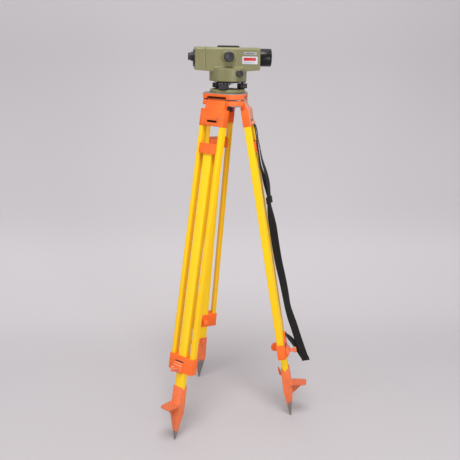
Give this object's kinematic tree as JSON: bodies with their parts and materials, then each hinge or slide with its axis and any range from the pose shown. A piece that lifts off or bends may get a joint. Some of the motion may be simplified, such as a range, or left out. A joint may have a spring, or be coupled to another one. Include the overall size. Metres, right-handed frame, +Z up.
{
  "type": "surveying level",
  "caption": "Automatic surveying level on a three-legged wooden tripod with spreading, sliding legs, for sighting a horizontal line.",
  "frame": {"origin": "on the ground under the vertical axis, midway between the three points of the legs", "axes": "+Z up along the vertical axis, +X the way in which the telescope looks"},
  "size_m": [0.5057, 0.5038, 1.2395],
  "materials": {
    "orange_metal": "worn orange paint on cast and pressed metal",
    "yellow_wood": "yellow paint on wood, scratched",
    "green_metal": "satin grey-green paint on cast metal",
    "black_plastic": "moulded black, slightly glossy",
    "black_metal": "black anodised and painted metal",
    "steel": "turned steel",
    "brass": "turned brass",
    "glass": "polished glass",
    "webbing": "woven black webbing",
    "plate": "printed plates, bare of words"
  },
  "bodies": {
    "tripod": {"tripod_head": "orange_metal", "hinge_caps": "orange_metal", "hinge_pins": "steel", "cap_bolts": "steel"},
    "arm": {"screw_arm": "steel"},
    "level_base": {"base_plate": "green_metal", "ball_caps": "steel"},
    "fixing_screw": {"fixing_screw": "black_plastic"},
    "leg_front": {"hinge_block_front": "orange_metal", "rails_front": "yellow_wood", "collar_front": "orange_metal"},
    "foot_front": {"board_front": "yellow_wood", "slide_bracket_front": "orange_metal", "shoe_front": "orange_metal"},
    "wing_front": {"wing_screw_front": "orange_metal"},
    "leg_right": {"hinge_block_right": "orange_metal", "rails_right": "yellow_wood", "collar_right": "orange_metal", "carry_strap": "webbing", "strap_buckle": "black_plastic"},
    "foot_right": {"board_right": "yellow_wood", "slide_bracket_right": "orange_metal", "shoe_right": "orange_metal"},
    "wing_right": {"wing_screw_right": "orange_metal"},
    "leg_rear": {"hinge_block_rear": "orange_metal", "rails_rear": "yellow_wood", "collar_rear": "orange_metal"},
    "foot_rear": {"board_rear": "yellow_wood", "slide_bracket_rear": "orange_metal", "shoe_rear": "orange_metal"},
    "wing_rear": {"wing_screw_rear": "orange_metal"},
    "foot_screw_1": {"foot_screw_1": "black_plastic"},
    "foot_screw_2": {"foot_screw_2": "black_plastic"},
    "foot_screw_3": {"foot_screw_3": "black_plastic"},
    "spring_plate": {"spring_plate": "steel"},
    "tribrach": {"tribrach": "black_metal", "centre_axis": "steel"},
    "drive_wheel": {"drive_wheel": "brass"},
    "alidade": {"lower_housing": "green_metal", "bubble_cup": "green_metal", "bubble_vial": "glass", "bubble_prism": "glass", "telescope_housing": "green_metal", "eyepiece_housing": "green_metal", "objective_barrel": "black_metal", "objective_lens": "glass", "objective_hood": "black_metal", "compensator_frame": "steel", "reticle": "glass", "eyepiece_flange": "black_metal", "sight_rail": "black_metal", "label_plates": "plate"},
    "drive_knobs": {"drive_knobs": "black_plastic"},
    "focus_cell": {"focusing_cell": "brass", "focusing_lens": "glass"},
    "focus_knob": {"focus_knob": "black_plastic"},
    "pendulum": {"compensator_pendulum": "brass"},
    "eyepiece": {"eyepiece_ring": "black_plastic", "eyepiece_lens": "glass"},
    "check_button": {"check_button": "black_plastic"}
  },
  "joints": [
    {"name": "leg_front_spread", "type": "hinge", "parent": "tripod", "child": "leg_front", "pos_m": [-0.03146, -0.03218, 1.081], "axis": [-0.7151, 0.699, 0], "range_deg": [-10.2, 25]},
    {"name": "leg_front_slide", "type": "slide", "parent": "leg_front", "child": "foot_front", "axis": [-0.1238, -0.1266, -0.9842], "range_m": [-0.04, 0.59]},
    {"name": "wing_screw_front_turn", "type": "hinge", "parent": "leg_front", "child": "wing_front", "pos_m": [-0.16089, -0.15743, 0.24979], "axis": [-0.688, -0.7038, 0.1771], "range_deg": [0, 720]},
    {"name": "leg_right_spread", "type": "hinge", "parent": "tripod", "child": "leg_right", "pos_m": [0.0436, -0.01115, 1.081], "axis": [-0.2478, -0.9688, 0], "range_deg": [-10.2, 25]},
    {"name": "leg_right_slide", "type": "slide", "parent": "leg_right", "child": "foot_right", "axis": [0.1716, -0.0439, -0.9842], "range_m": [-0.04, 0.59]},
    {"name": "wing_screw_right_turn", "type": "hinge", "parent": "leg_right", "child": "wing_right", "pos_m": [0.21678, -0.06062, 0.24979], "axis": [0.9535, -0.2439, 0.1771], "range_deg": [0, 720]},
    {"name": "leg_rear_spread", "type": "hinge", "parent": "tripod", "child": "leg_rear", "pos_m": [-0.01214, 0.04333, 1.081], "axis": [0.9629, 0.2698, 0], "range_deg": [-10.2, 25]},
    {"name": "leg_rear_slide", "type": "slide", "parent": "leg_rear", "child": "foot_rear", "axis": [-0.0478, 0.1705, -0.9842], "range_m": [-0.04, 0.59]},
    {"name": "wing_screw_rear_turn", "type": "hinge", "parent": "leg_rear", "child": "wing_rear", "pos_m": [-0.05589, 0.21805, 0.24979], "axis": [-0.2655, 0.9477, 0.1771], "range_deg": [0, 720]},
    {"name": "arm_swing", "type": "hinge", "parent": "tripod", "child": "arm", "pos_m": [-0.03585, 0.00917, 1.0877], "axis": [0, 0, 1], "range_deg": [-14, 14]},
    {"name": "base_shift", "type": "slide", "parent": "arm", "child": "level_base", "axis": [-0.9688, 0.2478, 0], "range_m": [-0.014, 0.014]},
    {"name": "fixing_screw_turn", "type": "hinge", "parent": "level_base", "child": "fixing_screw", "pos_m": [0, 0, 1.07], "axis": [0, 0, 1], "range_deg": [-1080, 0]},
    {"name": "foot_screw_1_turn", "type": "hinge", "parent": "level_base", "child": "foot_screw_1", "pos_m": [0.04547, 0.00696, 1.12], "axis": [0, 0, 1], "range_deg": [-720, 720]},
    {"name": "foot_screw_2_turn", "type": "hinge", "parent": "level_base", "child": "foot_screw_2", "pos_m": [-0.01671, -0.04286, 1.12], "axis": [0, 0, 1], "range_deg": [-720, 720]},
    {"name": "foot_screw_3_turn", "type": "hinge", "parent": "level_base", "child": "foot_screw_3", "pos_m": [-0.02876, 0.0359, 1.12], "axis": [0, 0, 1], "range_deg": [-720, 720]},
    {"name": "tilt_fore", "type": "hinge", "parent": "level_base", "child": "spring_plate", "pos_m": [-0.02273, -0.00348, 1.107], "axis": [-0.1513, 0.9885, 0], "range_deg": [-1.32, 1.32]},
    {"name": "tilt_side", "type": "hinge", "parent": "spring_plate", "child": "tribrach", "pos_m": [0, 0, 1.107], "axis": [0.9885, 0.1513, 0], "range_deg": [-2.3, 2.3]},
    {"name": "coarse_turn", "type": "hinge", "parent": "tribrach", "child": "drive_wheel", "pos_m": [0, 0, 1.155], "axis": [0, 0, 1], "continuous": true},
    {"name": "fine_turn", "type": "hinge", "parent": "drive_wheel", "child": "alidade", "pos_m": [0, 0, 1.155], "axis": [0, 0, 1], "continuous": true},
    {"name": "drive_knob_turn", "type": "hinge", "parent": "alidade", "child": "drive_knobs", "pos_m": [0.0297, 0, 1.159], "axis": [0, 1, 0], "continuous": true},
    {"name": "focus_knob_turn", "type": "hinge", "parent": "alidade", "child": "focus_knob", "pos_m": [-0.002, -0.045, 1.2076], "axis": [0, 1, 0], "range_deg": [-360, 360]},
    {"name": "focus_slide", "type": "slide", "parent": "alidade", "child": "focus_cell", "axis": [1, 0, 0], "range_m": [-0.0099, 0.0099]},
    {"name": "compensator_swing", "type": "hinge", "parent": "alidade", "child": "pendulum", "pos_m": [-0.04, 0, 1.225], "axis": [0, 1, 0], "range_deg": [-0.5, 0.5]},
    {"name": "eyepiece_turn", "type": "hinge", "parent": "alidade", "child": "eyepiece", "pos_m": [-0.11, 0, 1.20575], "axis": [1, 0, 0], "range_deg": [-150, 150]},
    {"name": "check_button_press", "type": "slide", "parent": "alidade", "child": "check_button", "axis": [1, 0, 0], "range_m": [0, 0.002], "stiffness_N_per_m": 300, "springref_m": -0.001}
  ],
  "couplings": [
    {"joint": "foot_screw_1_turn", "follows": "tilt_fore", "ratio": 541.92},
    {"joint": "foot_screw_2_turn", "follows": "tilt_side", "ratio": 312.88},
    {"joint": "foot_screw_3_turn", "follows": "tilt_side", "ratio": -312.88},
    {"joint": "drive_knob_turn", "follows": "fine_turn", "ratio": 60},
    {"joint": "focus_knob_turn", "follows": "focus_slide", "rad_per_m": 628.32}
  ]
}
